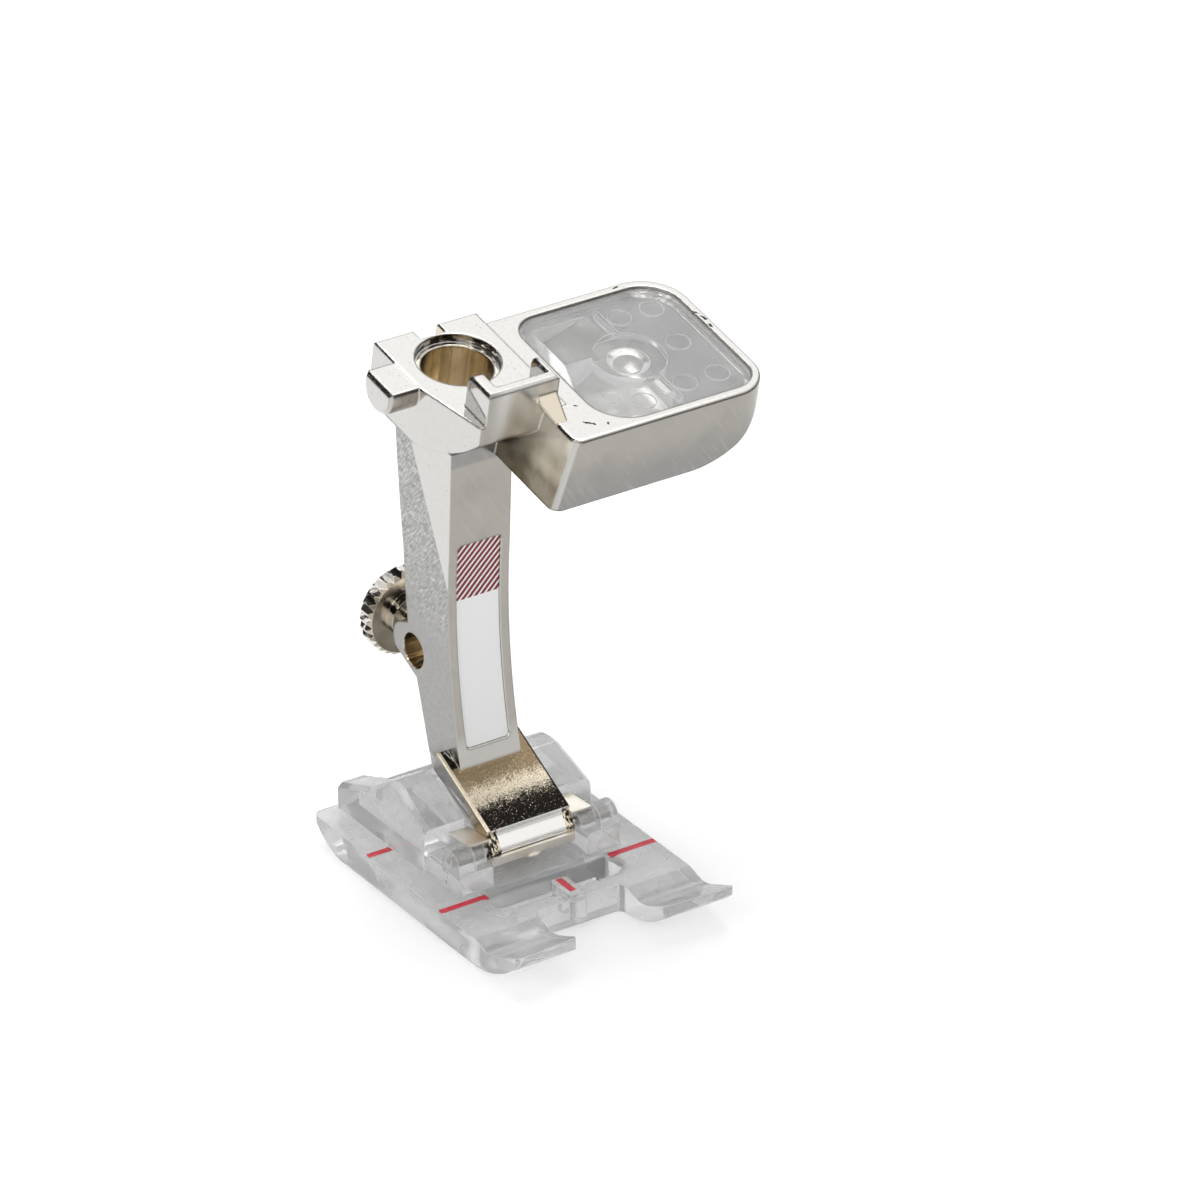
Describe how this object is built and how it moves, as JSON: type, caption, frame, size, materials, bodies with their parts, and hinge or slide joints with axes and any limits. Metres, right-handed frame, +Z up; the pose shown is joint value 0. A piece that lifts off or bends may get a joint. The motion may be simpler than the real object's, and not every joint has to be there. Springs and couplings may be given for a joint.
{
  "type": "sewing machine presser foot",
  "caption": "Embroidery presser foot: leaning shank with a clamp head, a side tub for a sensor and a hinged clear sole.",
  "frame": {"origin": "the needle's line on the plane of the sole's underside", "axes": "+Z up the needle's line, +Y to the rear of the machine, +X to the side that carries the sensor tub"},
  "size_m": [0.0332, 0.0352, 0.047],
  "materials": {
    "nickel_casting": "bright nickel plating on a die casting",
    "label": "matt printed plate",
    "clear_lens": "clear moulded",
    "turned_steel": "turned and plated",
    "pin_steel": "ground",
    "spring_steel": "bright rolled sheet",
    "clear_plastic": "clear moulded"
  },
  "bodies": {
    "shank": {"shank_casting": "nickel_casting", "sensor_lens": "clear_lens", "label_plate": "label", "leaf_clip": "spring_steel", "clip_rivet": "pin_steel"},
    "sole": {"clear_sole": "clear_plastic", "hinge_pin": "pin_steel"},
    "screw": {"thumb_screw": "turned_steel"}
  },
  "joints": [
    {"name": "sole_tilt", "type": "hinge", "parent": "shank", "child": "sole", "pos_m": [0, 0.003, 0.0049], "axis": [1, 0, 0], "range_deg": [0, 16], "stiffness_Nm_per_rad": 0.01, "springref_deg": -20},
    {"name": "screw_turn", "type": "hinge", "parent": "shank", "child": "screw", "pos_m": [0, 0.01578, 0.01773], "axis": [0, 0.9992, 0.0401], "range_deg": [-180, 720]}
  ]
}
